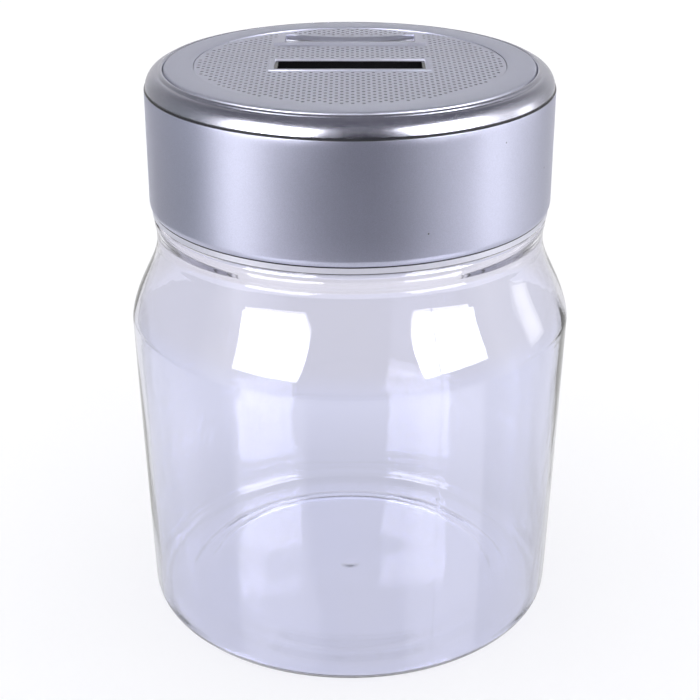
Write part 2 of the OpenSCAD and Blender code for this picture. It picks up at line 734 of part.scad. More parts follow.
module door_screw() {
    color("silver") screw(0, door_screw_y, floor_z - ear_t - between, door_screw_r,
        ear_t + between + floor_t + door_boss_h - 1, 2, 1.1);
}

// Screws up through the cap's floor into the top plate's posts
module lid_screws() {
    for (p = posts) color("silver") screw(p[0], p[1], floor_z, screw_r, floor_t + 8, head_r, head_h);
}

jar();
seal_ring();
inner_cap();
skirt_sleeve();
bezel_ring();
top_plate();
dotted_disc();
display_frame();
display_lens();
lcd_glass();
zebra_strips();
circuit_board();
chip_blob();
board_screws();
coin_funnel();
coin_chute();
coin_lever();
lever_pin();
lever_spring();
lever_wiper();
sensor_board();
sensor_wires();
reset_button();
reset_spring();
reset_switch();
battery_box();
cell_left();
cell_right();
cell_contacts();
battery_wires();
battery_door();
door_screw();
lid_screws();
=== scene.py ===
import bpy
import math
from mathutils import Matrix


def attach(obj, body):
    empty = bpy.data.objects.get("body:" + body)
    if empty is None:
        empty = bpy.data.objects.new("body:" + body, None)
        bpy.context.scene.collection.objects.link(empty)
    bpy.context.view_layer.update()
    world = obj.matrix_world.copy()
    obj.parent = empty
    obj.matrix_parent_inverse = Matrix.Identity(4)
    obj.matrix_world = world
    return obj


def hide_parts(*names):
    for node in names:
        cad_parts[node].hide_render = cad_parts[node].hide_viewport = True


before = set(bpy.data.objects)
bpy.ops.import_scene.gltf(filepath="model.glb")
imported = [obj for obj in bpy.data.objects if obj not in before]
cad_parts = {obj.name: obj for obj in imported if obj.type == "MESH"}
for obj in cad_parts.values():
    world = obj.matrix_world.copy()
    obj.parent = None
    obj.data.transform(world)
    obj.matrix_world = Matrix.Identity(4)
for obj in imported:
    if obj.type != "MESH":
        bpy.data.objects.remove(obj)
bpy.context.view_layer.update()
MM = 0.001

# ---------------------------------------------------------------------------------------------
# Camera. It stands in front of the jar on the side away from the display, and looks down on
# the lid from a little above it.
bpy.ops.object.select_all(action="DESELECT")
bpy.ops.object.camera_add(location=(0.0, -0.4051, 0.2550), rotation=(math.radians(65.814), 0, 0))
camera = bpy.context.object
camera.data.sensor_width = 36
camera.data.lens = 80.86
bpy.context.scene.camera = camera

# ---------------------------------------------------------------------------------------------
# Studio. A pale floor under an even pale surround, two glowing panels in front, left and right,
# a dim one at the side, and a wash of tones that shapes the metal. None of it is part of the jar.


def add(tree, kind, values=None, **settings):
    """A node of this kind. Values are its sockets' numbers or the sockets that feed them."""
    node = tree.nodes.new("ShaderNode" + kind)
    for name, value in settings.items():
        setattr(node, name, value)
    for socket, value in (values or {}).items():
        if isinstance(value, bpy.types.NodeSocket):
            tree.links.new(value, node.inputs[socket])
        else:
            node.inputs[socket].default_value = value
    return node


def ramp(tree, factor, stops):
    """A colour ramp with these (place, brightness or colour) stops."""
    node = add(tree, "ValToRGB", {"Fac": factor})
    elements = node.color_ramp.elements
    for i, (place, tone) in enumerate(stops):
        e = elements[i] if i < len(elements) else elements.new(place)
        e.position = place
        e.color = (*tone, 1) if isinstance(tone, tuple) else (tone, tone, tone, 1)
    return node.outputs["Color"]


bpy.context.scene.view_settings.view_transform = "Standard"
world = bpy.data.worlds.new("studio")
bpy.context.scene.world = world
world.use_nodes = True
world.cycles.sampling_method = "NONE"
sky = world.node_tree
sky.nodes.clear()
look = add(sky, "TexCoord").outputs["Generated"]
parts = add(sky, "SeparateXYZ", {0: look}).outputs
turned = add(sky, "Math", {0: parts["Y"], 1: -1.0}, operation="MULTIPLY").outputs[0]
heading = add(sky, "Math", {0: parts["X"], 1: turned}, operation="ARCTAN2").outputs[0]
heading = add(sky, "MapRange", {0: heading, 1: -math.pi, 2: math.pi, 3: 0.0, 4: 1.0}).outputs[0]
around = ramp(sky, heading, [
    (0.0, 0.84), (0.07, 0.66), (0.12, 0.42), (0.21, (0.30, 0.32, 0.33)),
    (0.26, (0.34, 0.36, 0.38)), (0.31, 1.7), (0.345, 1.15), (0.385, 0.34),
    (0.435, (0.03, 0.03, 0.045)), (0.57, (0.03, 0.03, 0.045)), (0.63, 0.22), (0.69, 0.55),
    (0.735, 1.6), (0.775, 1.1), (0.82, 0.8), (0.88, 0.5), (0.93, 0.66), (1.0, 0.84)])
height = add(sky, "MapRange", {0: parts["Z"], 1: 0.2, 2: 0.8, 3: 0.0, 4: 1.0}).outputs[0]
wash = add(sky, "Mix", {0: height, 6: around, 7: (0.2, 0.2, 0.225, 1)}, data_type="RGBA").outputs[2]
paths = add(sky, "LightPath").outputs
thrown = add(sky, "Math", {0: paths["Is Glossy Ray"], 1: paths["Is Transmission Ray"]},
             operation="SUBTRACT", use_clamp=True).outputs[0]
pale = add(sky, "Background", {"Color": (1.0, 1.0, 1.02, 1), "Strength": 1.06}).outputs[0]
shaped = add(sky, "Background", {"Color": wash, "Strength": 1.0}).outputs[0]
both = add(sky, "MixShader", {0: thrown, 1: pale, 2: shaped}).outputs[0]
add(sky, "OutputWorld", {"Surface": both})

bpy.ops.object.select_all(action="DESELECT")
bpy.ops.mesh.primitive_plane_add(size=6, location=(0, 0, -0.0002))
floor = bpy.context.object
floor.name = "floor"
floor.visible_glossy = False
floor_paint = bpy.data.materials.new("floor_paint")
floor_paint.use_nodes = True
tree = floor_paint.node_tree
soft = add(tree, "TexNoise", {"Vector": add(tree, "TexCoord").outputs["Object"], "Scale": 3.0})
tree.links.new(ramp(tree, soft.outputs["Fac"], [(0.3, (0.97, 0.97, 0.97)), (0.7, (0.99, 0.99, 0.99))]),
               tree.nodes["Principled BSDF"].inputs["Base Color"])
tree.nodes["Principled BSDF"].inputs["Roughness"].default_value = 0.9
tree.nodes["Principled BSDF"].inputs["Specular IOR Level"].default_value = 0.0
floor.data.materials.append(floor_paint)


def softbox(name, heading, low, high, width, radiance):
    """A glowing panel at a heading from the front, between two heights in degrees."""
    away = 1.3
    middle = math.radians((low + high) / 2)
    a = math.radians(heading)
    place = (away * math.cos(middle) * math.sin(a), -away * math.cos(middle) * math.cos(a),
             0.1 + away * math.sin(middle))
    bpy.ops.object.select_all(action="DESELECT")
    bpy.ops.mesh.primitive_plane_add(size=1, location=place, rotation=(math.pi / 2 - middle, 0, a))
    panel = bpy.context.object
    panel.name = name
    panel.scale = (2 * away * math.tan(math.radians(width / 2)),
                   2 * away * math.tan(math.radians((high - low) / 2)), 1)
    glow = bpy.data.materials.new(name + "_cloth")
    glow.use_nodes = True
    glow.cycles.emission_sampling = "NONE"
    cloth = glow.node_tree
    cloth.nodes.clear()
    centre = add(cloth, "VectorMath", {0: add(cloth, "TexCoord").outputs["Object"]}, operation="LENGTH")
    fade = add(cloth, "MapRange", {0: centre.outputs["Value"], 1: 0.1, 2: 0.7,
                                   3: radiance, 4: radiance * 0.6})
    light = add(cloth, "Emission", {"Color": (1.0, 1.0, 1.0, 1), "Strength": fade.outputs[0]})
    add(cloth, "OutputMaterial", {"Surface": light.outputs[0]})
    panel.data.materials.append(glow)
    panel.visible_camera = panel.visible_diffuse = panel.visible_shadow = False


softbox("softbox_left", -43, 7, 39, 38, 20)
softbox("softbox_right", 55, 7, 39, 38, 20)
softbox("side_right", 108, -4, 14, 14, 3.2)

# The table top just round the jar, as the jar and lid see it: a glowing white disc that paints the lit table,
# dimmer near the jar as a painted contact shadow, with a slight polish.
bpy.ops.object.select_all(action="DESELECT")
bpy.ops.mesh.primitive_circle_add(vertices=96, radius=0.27, fill_type="NGON", location=(0, 0, -0.0001))
table = bpy.context.object
table.name = "table_glow_card"
table_glow_paint = bpy.data.materials.new("white_table_glow")
table_glow_paint.use_nodes = True
table_glow_paint.cycles.emission_sampling = "NONE"
tree = table_glow_paint.node_tree
tree.nodes.clear()
soft = add(tree, "TexNoise", {"Vector": add(tree, "TexCoord").outputs["Object"], "Scale": 8.0}).outputs["Fac"]
# Painted contact shadow: the glow is dimmer under the jar and just round it, brighter further out.
out = add(tree, "VectorMath", {0: add(tree, "TexCoord").outputs["Object"]}, operation="LENGTH")
shade = add(tree, "MapRange", {0: out.outputs["Value"], 1: 0.055, 2: 0.12, 3: 0.67, 4: 0.85}).outputs[0]
glow = add(tree, "Emission", {"Color": ramp(tree, soft, [(0.3, 0.98), (0.7, 1.0)]),
                              "Strength": shade}).outputs[0]
polish = add(tree, "BsdfGlossy", {"Color": (0.045, 0.045, 0.05, 1), "Roughness": 0.15}).outputs[0]
both = add(tree, "AddShader", {0: glow, 1: polish}).outputs[0]
add(tree, "OutputMaterial", {"Surface": both})
table.data.materials.append(table_glow_paint)
table.visible_camera = table.visible_diffuse = table.visible_shadow = False

# ---------------------------------------------------------------------------------------------
# Jar. Blow-moulded clear plastic: a thin wall with a soft crease at the shoulder, a waist under
# the lid, a pushed-up base with its gate mark, and two mould seams. Its neck is moulded solid,
# with a three-start thread that the lid screws on to.


def start_profile(name, points):
    """Draws a chain of edges through (radius, height) points in millimetres, in the x-z plane."""
    bpy.ops.object.select_all(action="DESELECT")
    bpy.ops.mesh.primitive_plane_add(size=0.001)
    piece = bpy.context.object
    piece.name = name
    bpy.ops.object.mode_set(mode="EDIT")
    bpy.ops.mesh.select_mode(type="VERT")
    bpy.ops.mesh.select_all(action="SELECT")
    bpy.ops.mesh.merge(type="CENTER")
    r, z = points[0]
    bpy.ops.transform.translate(value=(r * MM, 0, z * MM))
    for r1, z1 in points[1:]:
        bpy.ops.mesh.extrude_region_move(
            TRANSFORM_OT_translate={"value": ((r1 - r) * MM, 0, (z1 - z) * MM)})
        r, z = r1, z1
    return piece


def turn(name, points, steps=192, closed=True, crisp=32):
    """Turns a profile round the jar's axis, as on a lathe, and closes its seam."""
    piece = start_profile(name, points + points[:1] if closed else points)
    bpy.ops.mesh.select_all(action="SELECT")
    bpy.ops.mesh.spin(steps=steps, angle=2 * math.pi, center=(0, 0, 0), axis=(0, 0, 1))
    bpy.ops.mesh.select_all(action="SELECT")
    bpy.ops.mesh.remove_doubles(threshold=2e-6)
    bpy.ops.mesh.normals_make_consistent(inside=False)
    bpy.ops.object.mode_set(mode="OBJECT")
    settle(piece)
    bpy.ops.object.shade_smooth_by_angle(angle=math.radians(crisp))
    return piece


def settle(piece):
    """Puts the piece's place, turn and size into its mesh."""
    bpy.ops.object.select_all(action="DESELECT")
    piece.select_set(True)
    bpy.context.view_layer.objects.active = piece
    bpy.ops.object.transform_apply(location=True, rotation=True, scale=True)


def eased(points, times=2):
    """Cuts the corners of a chain of points until it flows, and keeps its ends."""
    for _ in range(times):
        cut = [points[0]]
        for (a, b), (c, d) in zip(points, points[1:]):
            cut += [(0.75 * a + 0.25 * c, 0.75 * b + 0.25 * d), (0.25 * a + 0.75 * c, 0.25 * b + 0.75 * d)]
        points = cut + [points[-1]]
    return points


WALL, BASE = 1.4, 1.6
BELLY, WAIST = 87.0, 109.5
JAR_R, WAIST_R, OVERHANG = 60, 52.3, 7.7
NECK_R = 48.5
RIB_OUT, RIB_LOW = 1, 122
RIB_STEPS, RIB_SWEEP, RIB_LEAD = 26, 100, 15


def shoulder(t):
    """Share of the shoulder's overhang left at t of its height."""
    return (1 + math.cos(math.radians(45 + 135 * t ** 1.25))) / (1 + math.cos(math.radians(45)))


def wall(inset):
    """The side wall from the heel to the waist, set in by its thickness."""
    corner = 5.5 if inset == 0 else 2.2
    middle = (57.5 - inset - corner, inset * BASE / WALL + corner)
    heel = [(middle[0] + corner * math.cos(math.radians(a)), middle[1] + corner * math.sin(math.radians(a)))
            for a in range(-90, 1, 10)]
    side = [(JAR_R - inset - 2.5 * ((BELLY - z) / 81.5) ** 1.12, z) for z in range(9, 87, 4)]
    top = [(WAIST_R - inset + OVERHANG * shoulder(i / 36), BELLY + (WAIST - BELLY) * i / 36)
           for i in range(37)]
    return heel + side + top


def push_up(rise, start):
    """The base from the standing ring up to its raised middle, with a step on the way."""
    return start + [(r, rise + z) for r, z in eased(
        [(47.2, 0.1), (45.8, 0.55), (44.6, 0.95), (43.4, 1.05), (42.2, 1.2), (41.0, 1.65), (39.8, 2.12),
         (38.4, 2.34), (37.0, 2.4)])]


jar_outside = push_up(0, [(48.0, 0.0)])[::-1] + wall(0) + eased(
    [(52.3, 110.2), (52.3, 111.6), (52.55, 112.9), (52.8, 114.1), (52.82, 115.5), (52.4, 116.0)])
jar_outside = [(0, 2.05), (1.0, 2.07), (1.8, 2.22), (2.8, 2.37), (3.4, 2.4), (22, 2.4)] + jar_outside + [
    (48.9, 116.0), (48.5, 116.3), (48.5, 133.4), (48.35, 133.8), (48.0, 134.0)]
jar_inside = [(47.0, 134.0), (46.65, 133.8), (46.5, 133.4), (46.5, 121.0)] + eased(
    [(46.5, 120.2), (46.9, 119.0), (48.0, 116.5), (49.8, 112.6), (50.8, 110.8), (51.0, 108.6)]) + [
    p for p in wall(WALL)[::-1] if p[1] < 108] + push_up(
    BASE, [(48.0, BASE)]) + [(22, 4.0), (3.2, 4.0), (2.4, 3.94), (1.2, 3.9), (0, 3.9)]
jar = turn("jar_shell", jar_outside + jar_inside, steps=240, closed=False, crisp=40)


def thread_ridge(start):
    """One raised thread: a four-cornered rib carried a little over a quarter turn up the neck."""
    bpy.ops.object.select_all(action="DESELECT")
    bpy.ops.mesh.primitive_plane_add(size=1)
    rib = bpy.context.object
    rib.name = "rib"
    turn_by = math.radians(RIB_SWEEP / RIB_STEPS)
    root, crest = NECK_R - RIB_OUT * 0.5, NECK_R + RIB_OUT * 0.3
    corners = [(root, -1.1), (crest, -0.55), (crest, 0.55), (root, 1.1)]
    for v, (r, z) in zip([0, 1, 3, 2], corners):
        rib.data.vertices[v].co = (r * MM, 0, (RIB_LOW + z) * MM)
    bpy.ops.object.mode_set(mode="EDIT")
    bpy.ops.mesh.select_all(action="SELECT")
    for i in range(RIB_STEPS):
        bpy.ops.mesh.extrude_region_move()
        bpy.ops.transform.rotate(value=-turn_by, orient_axis="Z", center_override=(0, 0, 0))
        bpy.ops.transform.translate(value=(0, 0, RIB_LEAD / 360 * (RIB_SWEEP / RIB_STEPS) * MM))
        if i < 3:
            grow(RIB_OUT * 0.3 * MM)
        if i >= RIB_STEPS - 3:
            grow(-RIB_OUT * 0.3 * MM)
    bpy.ops.mesh.select_all(action="SELECT")
    bpy.ops.transform.rotate(value=-math.radians(start), orient_axis="Z", center_override=(0, 0, 0))
    bpy.ops.mesh.normals_make_consistent(inside=False)
    bpy.ops.object.mode_set(mode="OBJECT")
    settle(rib)
    return rib


def grow(by):
    """Moves the crest of the rib's last section out from the neck."""
    bpy.ops.object.mode_set(mode="OBJECT")
    mesh = bpy.context.object.data
    last = [v for v in mesh.vertices if v.select]
    reach = sorted(last, key=lambda v: math.hypot(v.co.x, v.co.y))
    for v in reach[2:]:
        r = math.hypot(v.co.x, v.co.y)
        v.co.x *= (r + by) / r
        v.co.y *= (r + by) / r
    bpy.ops.object.mode_set(mode="EDIT")


def join(piece, others):
    """Joins finished meshes into one piece."""
    bpy.ops.object.select_all(action="DESELECT")
    for o in others:
        o.select_set(True)
    piece.select_set(True)
    bpy.context.view_layer.objects.active = piece
    bpy.ops.object.join()


def weld(piece, other):
    """Unites two solids with a Boolean, then removes the second."""
    bpy.ops.object.select_all(action="DESELECT")
    piece.select_set(True)
    bpy.context.view_layer.objects.active = piece
    cut = piece.modifiers.new("weld", "BOOLEAN")
    cut.object = other
    cut.operation = "UNION"
    cut.solver = "EXACT"
    bpy.ops.object.modifier_apply(modifier=cut.name)
    bpy.data.objects.remove(other)


for k in range(3):
    weld(jar, thread_ridge(120 * k))
bpy.ops.object.shade_smooth_by_angle(angle=math.radians(40))


def group(name, inputs, outputs):
    """A shader node group with these named sockets."""
    made = bpy.data.node_groups.new(name, "ShaderNodeTree")
    kinds = {"float": "NodeSocketFloat", "vector": "NodeSocketVector", "colour": "NodeSocketColor"}
    for label, kind in inputs:
        made.interface.new_socket(label, in_out="INPUT", socket_type=kinds[kind])
    for label, kind in outputs:
        made.interface.new_socket(label, in_out="OUTPUT", socket_type=kinds[kind])
    return made, made.nodes.new("NodeGroupInput").outputs, made.nodes.new("NodeGroupOutput")


# Fine scratches and handling marks: thin streaks that come and go, and specks of dust.
handling, given, result = group(
    "handling_marks",
    [("Vector", "vector"), ("Streak Scale", "float"), ("Speck Scale", "float")],
    [("Streaks", "float"), ("Specks", "float")])
stretched = add(handling, "Mapping", {0: given["Vector"], "Rotation": (0.3, 0.5, 0.2), "Scale": (1, 14, 1)})
fine = add(handling, "TexNoise", {"Vector": stretched.outputs[0],
                                  "Scale": given["Streak Scale"], "Detail": 2.0})
patchy = add(handling, "TexNoise", {"Vector": given["Vector"], "Scale": 40.0})
streak = ramp(handling, fine.outputs["Fac"], [(0.66, 0.0), (0.70, 1.0)])
where = ramp(handling, patchy.outputs["Fac"], [(0.5, 0.0), (0.62, 1.0)])
streaks = add(handling, "Math", {0: streak, 1: where}, operation="MULTIPLY")
cells = add(handling, "TexVoronoi", {"Vector": given["Vector"], "Scale": given["Speck Scale"]})
dot = ramp(handling, cells.outputs["Distance"], [(0.05, 1.0), (0.12, 0.0)])
chosen = add(handling, "Math", {0: cells.outputs["Color"], 1: 0.86}, operation="GREATER_THAN")
specks = add(handling, "Math", {0: dot, 1: chosen.outputs[0]}, operation="MULTIPLY")
handling.links.new(streaks.outputs[0], result.inputs["Streaks"])
handling.links.new(specks.outputs[0], result.inputs["Specks"])


def material(name):
    """A new material, its node tree, its shader and the object's own coordinates."""
    made = bpy.data.materials.new(name)
    made.use_nodes = True
    nodes = made.node_tree
    return made, nodes, nodes.nodes["Principled BSDF"], add(nodes, "TexCoord").outputs["Object"]


def use_group(tree, made, values):
    """Places a node group in a material."""
    node = tree.nodes.new("ShaderNodeGroup")
    node.node_tree = made
    for socket, value in values.items():
        if isinstance(value, bpy.types.NodeSocket):
            tree.links.new(value, node.inputs[socket])
        else:
            node.inputs[socket].default_value = value
    return node.outputs


def set_shader(shader, **values):
    """Sets plain values, or feeds sockets, on the shader itself. Underscores stand for spaces."""
    for label, value in values.items():
        socket = shader.inputs[label.replace("_", " ")]
        if isinstance(value, bpy.types.NodeSocket):
            shader.id_data.links.new(value, socket)
        else:
            socket.default_value = value


clear, tree, shader, place = material("clear_plastic")
flow = add(tree, "Mapping", {0: place, "Scale": (1, 1, 0.45)}).outputs[0]
waves = add(tree, "TexNoise", {"Vector": flow, "Scale": 26.0, "Detail": 1.0}).outputs["Fac"]
marks = use_group(tree, handling, {"Vector": place, "Streak Scale": 90.0, "Speck Scale": 70.0})
tint = ramp(tree, waves, [(0.25, (0.860, 0.872, 0.992)), (0.75, (0.875, 0.882, 0.985))])
dull = add(tree, "MapRange", {0: waves, 3: 0.015, 4: 0.035}).outputs[0]
dull = add(tree, "Math", {0: marks["Streaks"], 1: 0.10, 2: dull}, operation="MULTIPLY_ADD").outputs[0]
seam_turn = add(tree, "Mapping", {0: place, "Rotation": (0, 0, math.radians(-22.5))}).outputs[0]
across = add(tree, "SeparateXYZ", {0: seam_turn}).outputs["X"]
across = add(tree, "Math", {0: across}, operation="ABSOLUTE").outputs[0]
seam = add(tree, "MapRange", {0: across, 1: 0.00012, 2: 0.00035, 3: 1.0, 4: 0.0}).outputs[0]
level = add(tree, "SeparateXYZ", {0: place}).outputs["Z"]
on_wall = add(tree, "MapRange", {0: level, 1: 0.004, 2: 0.008}).outputs[0]
seam = add(tree, "Math", {0: seam, 1: on_wall}, operation="MULTIPLY").outputs[0]
# Painted shade: above the shoulder the tint turns greyer and less blue, standing in for the darker look the
# crease's reflection and refraction give the upper jar.
shoulder_painted_shade = add(tree, "MapRange", {0: level, 1: 0.0845, 2: 0.094}, interpolation_type="SMOOTHSTEP").outputs[0]
tint = add(tree, "Mix", {0: shoulder_painted_shade, 6: tint, 7: (0.835, 0.828, 0.88, 1)}, data_type="RGBA").outputs[2]
ripples = add(tree, "TexNoise", {"Vector": flow, "Scale": 85.0, "Detail": 2.0}).outputs["Fac"]
relief = add(tree, "Math", {0: ripples, 1: 0.05, 2: waves}, operation="MULTIPLY_ADD").outputs[0]
swell = add(tree, "Bump", {"Height": relief, "Strength": 0.6, "Distance": 0.0022}).outputs[0]
ridge = add(tree, "Bump", {"Height": seam, "Strength": 0.5, "Distance": 0.00006, "Normal": swell}).outputs[0]
set_shader(shader, Base_Color=tint, Roughness=dull, Normal=ridge, IOR=1.5, Transmission_Weight=1.0)
path = add(tree, "LightPath").outputs
open_ = add(tree, "BsdfTransparent", {"Color": (0.98, 0.98, 0.99, 1)}).outputs[0]
lamp_ray = add(tree, "Math", {0: path["Is Shadow Ray"], 1: path["Is Diffuse Ray"]},
               operation="MAXIMUM").outputs[0]
mix = add(tree, "MixShader", {0: lamp_ray, 1: shader.outputs[0], 2: open_}).outputs[0]
tree.links.new(mix, tree.nodes["Material Output"].inputs["Surface"])
jar.data.materials.append(clear)
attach(jar, "jar")
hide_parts("jar")

# ---------------------------------------------------------------------------------------------
# Skirt sleeve. An injection-moulded ring in satin silver paint, pressed over the threaded cap.
# Its lower edge is rolled in a little, and its top edge butts against the bezel.
skirt = turn("skirt", [(51.8, 118.6), (52.95, 118.6), (53.3, 118.65), (53.46, 118.8)] + [
    (53.8 - 0.3 * (1 - i / 8) ** 2, 118.9 + 1.5 * i / 8) for i in range(1, 9)] + [
    (53.8, z) for z in range(124, 149, 4)] + [
    (53.8, 149.9), (53.77, 150.05), (53.66, 150.16), (53.5, 150.2), (51.8, 150.2)], steps=288)

# Metallic paint: fine flakes in a tinted lacquer, a little uneven, with dust and small chips.
paint, given, result = group(
    "metallic_paint",
    [("Vector", "vector"), ("Colour", "colour"), ("Flake Scale", "float"), ("Flake", "float"),
     ("Roughness", "float"), ("Marks", "float")],
    [("Colour", "colour"), ("Roughness", "float"), ("Normal", "vector")])
flakes = add(paint, "TexVoronoi", {"Vector": given["Vector"], "Scale": given["Flake Scale"]})
sparkle = add(paint, "MapRange", {0: flakes.outputs["Color"], 1: 0.0, 2: 1.0, 3: -0.5, 4: 0.5}).outputs[0]
sparkle = add(paint, "Math", {0: sparkle, 1: given["Flake"]}, operation="MULTIPLY").outputs[0]
cloud = add(paint, "TexNoise", {"Vector": given["Vector"], "Scale": 38.0, "Detail": 3.0}).outputs["Fac"]
cloud = add(paint, "MapRange", {0: cloud, 1: 0.2, 2: 0.8, 3: -0.03, 4: 0.03}, clamp=False).outputs[0]
tone = add(paint, "Math", {0: sparkle, 1: cloud}, operation="ADD").outputs[0]
tone = add(paint, "Math", {0: tone, 1: 1.0}, operation="ADD").outputs[0]
body = add(paint, "VectorMath", {0: given["Colour"], "Scale": tone}, operation="SCALE").outputs[0]
seen = use_group(paint, handling, {"Vector": given["Vector"], "Streak Scale": 130.0, "Speck Scale": 420.0})
spots = add(paint, "Math", {0: seen["Specks"], 1: given["Marks"]}, operation="MULTIPLY").outputs[0]
body = add(paint, "Mix", {0: spots, 6: body, 7: (0.10, 0.10, 0.11, 1)}, data_type="RGBA").outputs[2]
rubbed = add(paint, "Math", {0: cloud, 1: 0.9, 2: given["Roughness"]}, operation="MULTIPLY_ADD").outputs[0]
peel = add(paint, "TexNoise", {"Vector": given["Vector"], "Scale": 420.0, "Detail": 2.0}).outputs["Fac"]
peel = add(paint, "Math", {0: sparkle, 1: 0.5, 2: peel}, operation="MULTIPLY_ADD").outputs[0]
skin = add(paint, "Bump", {"Height": peel, "Strength": 0.12, "Distance": 0.0001}).outputs[0]
paint.links.new(body, result.inputs["Colour"])
paint.links.new(rubbed, result.inputs["Roughness"])
paint.links.new(skin, result.inputs["Normal"])


def painted(name, colour, roughness, metallic=0.9, flake_scale=6500.0, flake=0.16, marks=1.0, shadow_bands=()):
    """A metallic paint of this colour and sheen. Between the listed heights the colour is painted near-black
    and not metallic: a painted shadow line where parts meet.
    """
    made, tree, shader, place = material(name)
    got = use_group(tree, paint, {"Vector": place, "Colour": (*colour, 1), "Flake Scale": flake_scale,
                                  "Flake": flake, "Roughness": roughness, "Marks": marks})
    set_shader(shader, Base_Color=got["Colour"], Roughness=got["Roughness"], Normal=got["Normal"],
               Metallic=metallic)
    # Painted shadow lines: near-black, non-metallic bands at the given heights stand in for the shade in the
    # gaps between parts.
    if shadow_bands:
        up = add(tree, "SeparateXYZ", {0: place}).outputs["Z"]
        edge = 0.0
        for low, high in shadow_bands:
            band = add(tree, "Math", {0: up, 1: (low + high) / 2 * MM}, operation="SUBTRACT").outputs[0]
            band = add(tree, "Math", {0: band}, operation="ABSOLUTE").outputs[0]
            band = add(tree, "Math", {0: band, 1: (high - low) / 2 * MM}, operation="LESS_THAN").outputs[0]
            edge = add(tree, "Math", {0: band, 1: edge}, operation="MAXIMUM").outputs[0]
        body = add(tree, "Mix", {0: edge, 6: got["Colour"], 7: (0.035, 0.035, 0.042, 1)}, data_type="RGBA")
        shine = add(tree, "MapRange", {0: edge, 3: metallic, 4: 0.0}).outputs[0]
        set_shader(shader, Base_Color=body.outputs[2], Metallic=shine)
    return made


# The dark bands at its top edge and at its foot are painted shadow lines for the seams against the bezel and
# the cap's rim.
skirt.data.materials.append(painted("satin_silver", (0.52, 0.53, 0.67), 0.31,
                                    shadow_bands=[(150.02, 150.3), (118.5, 118.72)]))
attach(skirt, "lid")
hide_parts("skirt_sleeve")

# ---------------------------------------------------------------------------------------------
# Bezel ring. A glossy silver moulding, glued on the top plate's shelf: a small bead by the top,
# a fine step, then a broad roll down to the skirt.
bezel = turn("bezel", [
    (48.6, 152.9), (48.6, 154.25), (48.68, 154.62), (48.86, 154.9), (49.12, 155.06), (49.42, 155.1),
    (49.7, 155.05), (49.92, 154.9), (50.08, 154.68), (50.18, 154.45), (50.3, 154.4), (50.5, 154.42),
    (50.9, 154.36), (51.3, 154.2), (51.7, 153.95), (52.1, 153.6), (52.5, 153.14), (52.85, 152.6),
    (53.12, 152.05), (53.33, 151.45), (53.47, 150.9), (53.54, 150.5), (53.55, 150.3), (53.45, 150.2),
    (51.7, 150.2), (51.7, 152.9)], steps=288, crisp=50)
# The dark band at its foot is a painted shadow line for the seam with the skirt.
bezel.data.materials.append(painted("gloss_silver", (0.50, 0.50, 0.585), 0.225, metallic=1.0,
                                    flake_scale=9000.0, flake=0.06, marks=0.7, shadow_bands=[(150.0, 150.7)]))
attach(bezel, "lid")
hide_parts("bezel_ring")

# ---------------------------------------------------------------------------------------------
# Top plate. The moulding that carries the disc, with its posts and collar below. Its flat rim
# shows round the disc as a plain satin band with a softly rolled outer edge.
satin_plate = painted("satin_plate", (0.52, 0.53, 0.63), 0.42, flake=0.10, marks=0.5)
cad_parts["top_plate"].data.materials.clear()
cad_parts["top_plate"].data.materials.append(satin_plate)
rim = turn("plate_rim", [
    (40.86, 154.9), (40.86, 155.2), (40.9, 155.29), (41.0, 155.32), (44.0, 155.32), (47.75, 155.32),
    (48.0, 155.3), (48.22, 155.22), (48.4, 155.08), (48.5, 154.9), (48.54, 154.7), (48.54, 154.5),
    (48.0, 154.5)], steps=240)
rim.data.materials.append(satin_plate)
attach(rim, "lid")

# ---------------------------------------------------------------------------------------------
# Dotted disc. A satin silver disc moulded with a close staggered grid of round dimples that
# stops at its edge, at the slot's raised border and at the display's frame.
DISC_R, DISC_TOP, DISC_LOW = 40.7, 155.15, 153.55
CELL, CELLS = 1.33, 62
SLOT = (39.4, 10.4)
SLOT_Y = -1.7
BORDER = 1.2
VIEW_NEAR, VIEW_FAR = 20.1, 33.5
VIEW_NEAR_W, VIEW_FAR_W = 41.6, 37.4
VIEW_TOP, VIEW_ARC = 30.9, 68.5


def in_view_frame(x, y, gap):
    """True inside the display frame's outline, made larger by gap."""
    t = (y - VIEW_NEAR) / (VIEW_FAR - VIEW_NEAR)
    half = (VIEW_NEAR_W + (VIEW_FAR_W - VIEW_NEAR_W) * min(1, max(0, t))) / 2 + gap
    far = VIEW_TOP + VIEW_ARC - math.sqrt(VIEW_ARC ** 2 - min(x * x, 68 ** 2)) + gap
    return abs(x) < half and VIEW_NEAR - gap < y < far


def in_slot(x, y, gap):
    """True inside the slot's outline, made larger by gap."""
    return abs(x) < SLOT[0] / 2 + gap and abs(y - SLOT_Y) < SLOT[1] / 2 + gap


bpy.ops.object.select_all(action="DESELECT")
bpy.ops.mesh.primitive_grid_add(x_subdivisions=CELLS, y_subdivisions=CELLS, size=CELL * CELLS * MM,
                                location=(0, 0, DISC_TOP * MM))
disc = bpy.context.object
disc.name = "disc_dimples"
settle(disc)
for f in disc.data.polygons:
    x, y = f.center.x / MM, f.center.y / MM
    half = CELL / 2
    spots = [(x + sx * half, y + sy * half) for sx in (-1, 1) for sy in (-1, 1)]
    off = any(math.hypot(a, b) > DISC_R - 0.25 or in_slot(a, b, BORDER + 0.15)
              or in_view_frame(a, b, 0.25) for a, b in spots)
    f.select = off
for v in disc.data.vertices:
    v.select = False
for e in disc.data.edges:
    e.select = False
bpy.ops.object.mode_set(mode="EDIT")
bpy.ops.mesh.select_mode(type="FACE")
bpy.ops.mesh.delete(type="FACE")
bpy.ops.object.mode_set(mode="OBJECT")
